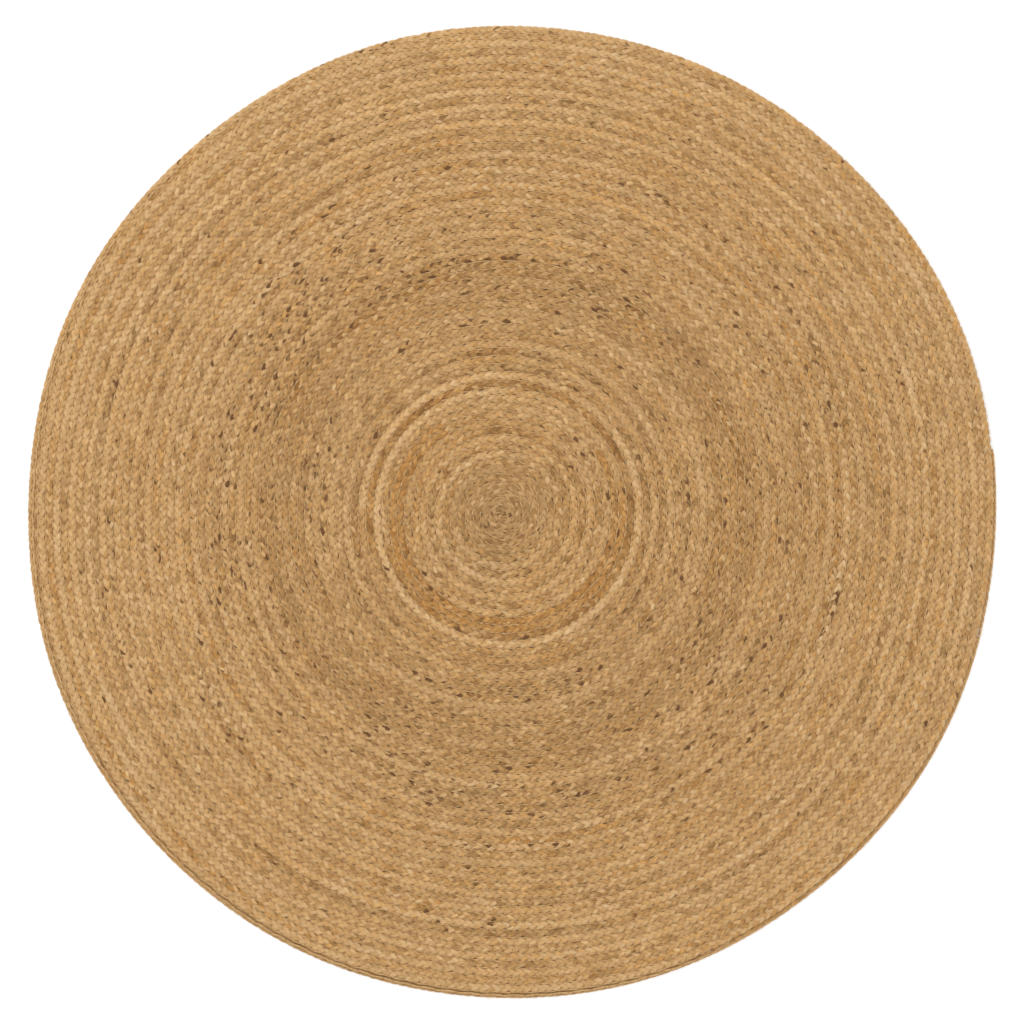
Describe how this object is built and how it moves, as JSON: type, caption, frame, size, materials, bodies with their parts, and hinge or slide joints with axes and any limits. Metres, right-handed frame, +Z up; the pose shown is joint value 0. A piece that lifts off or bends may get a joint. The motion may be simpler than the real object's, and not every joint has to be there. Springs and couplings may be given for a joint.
{
  "type": "area rug",
  "caption": "Round flat braided jute rug: a pale and a golden plait coiled side by side from an off-centre eye and sewn row to row, lying flat on a floor.",
  "frame": {"origin": "centre of the round outline, on the plane that the underside rests on", "axes": "+Z up out of the walking surface; +X towards the side where the two plaits end"},
  "size_m": [1.5, 1.5, 0.009],
  "materials": {
    "pale_jute": "matt plaited jute, pale straw",
    "golden_jute": "matt plaited jute, golden tan",
    "seam_thread": "matt twisted sewing twine"
  },
  "bodies": {
    "root": {"pale_braid_01": "pale_jute", "pale_braid_02": "pale_jute", "pale_braid_03": "pale_jute", "pale_braid_04": "pale_jute", "pale_braid_05": "pale_jute", "pale_braid_06": "pale_jute", "pale_braid_07": "pale_jute", "pale_braid_08": "pale_jute", "pale_braid_09": "pale_jute", "pale_braid_10": "pale_jute", "pale_braid_11": "pale_jute", "pale_braid_12": "pale_jute", "golden_braid_01": "golden_jute", "golden_braid_02": "golden_jute", "golden_braid_03": "golden_jute", "golden_braid_04": "golden_jute", "golden_braid_05": "golden_jute", "golden_braid_06": "golden_jute", "golden_braid_07": "golden_jute", "golden_braid_08": "golden_jute", "golden_braid_09": "golden_jute", "golden_braid_10": "golden_jute", "golden_braid_11": "golden_jute", "golden_braid_12": "golden_jute", "pale_seam_thread_01": "seam_thread", "pale_seam_thread_02": "seam_thread", "pale_seam_thread_03": "seam_thread", "pale_seam_thread_04": "seam_thread", "pale_seam_thread_05": "seam_thread", "pale_seam_thread_06": "seam_thread", "golden_seam_thread_01": "seam_thread", "golden_seam_thread_02": "seam_thread", "golden_seam_thread_03": "seam_thread", "golden_seam_thread_04": "seam_thread", "golden_seam_thread_05": "seam_thread", "golden_seam_thread_06": "seam_thread"}
  },
  "joints": []
}
